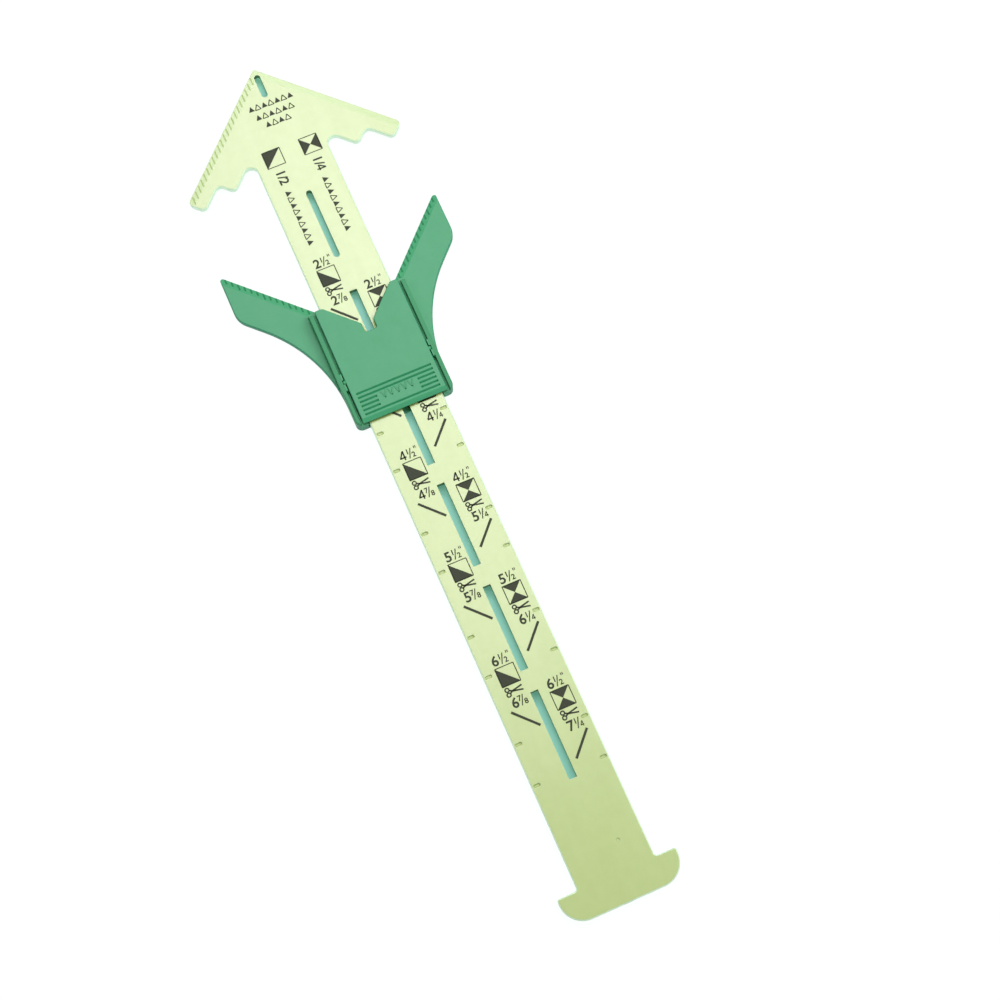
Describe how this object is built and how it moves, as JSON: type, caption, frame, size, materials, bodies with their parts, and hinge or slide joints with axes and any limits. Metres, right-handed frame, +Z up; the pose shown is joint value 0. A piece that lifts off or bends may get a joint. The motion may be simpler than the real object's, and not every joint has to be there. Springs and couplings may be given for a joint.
{
  "type": "sliding sewing ruler",
  "caption": "Arrow-headed plastic measuring blade with sight slots, carrying a slider with two 45 degree wings and a rocking, spring-returned detent plate.",
  "frame": {"origin": "centre of the part's footprint, on the surface that the slider's underside lies on", "axes": "+Y along the blade towards the arrow head, +X across the blade, +Z up through the printed face"},
  "size_m": [0.0762, 0.2998, 0.0055],
  "materials": {
    "lime_plastic": "satin",
    "green_plastic": "satin",
    "spring_steel": "bright rolled strip"
  },
  "bodies": {
    "blade": {"blade": "lime_plastic"},
    "slider": {"slider_frame": "green_plastic", "spring_left": "spring_steel", "spring_right": "spring_steel"},
    "rocker": {"rocker_plate": "green_plastic"}
  },
  "joints": [
    {"name": "slider_slide", "type": "slide", "parent": "blade", "child": "slider", "axis": [0, 1, 0], "range_m": [-0.157, 0.0265]},
    {"name": "rocker_hinge", "type": "hinge", "parent": "slider", "child": "rocker", "pos_m": [0, 0.03325, 0.00465], "axis": [1, 0, 0], "range_deg": [0, 1.8], "stiffness_Nm_per_rad": 0.1, "springref_deg": -5.73, "deforming": ["spring_left", "spring_right"]}
  ]
}
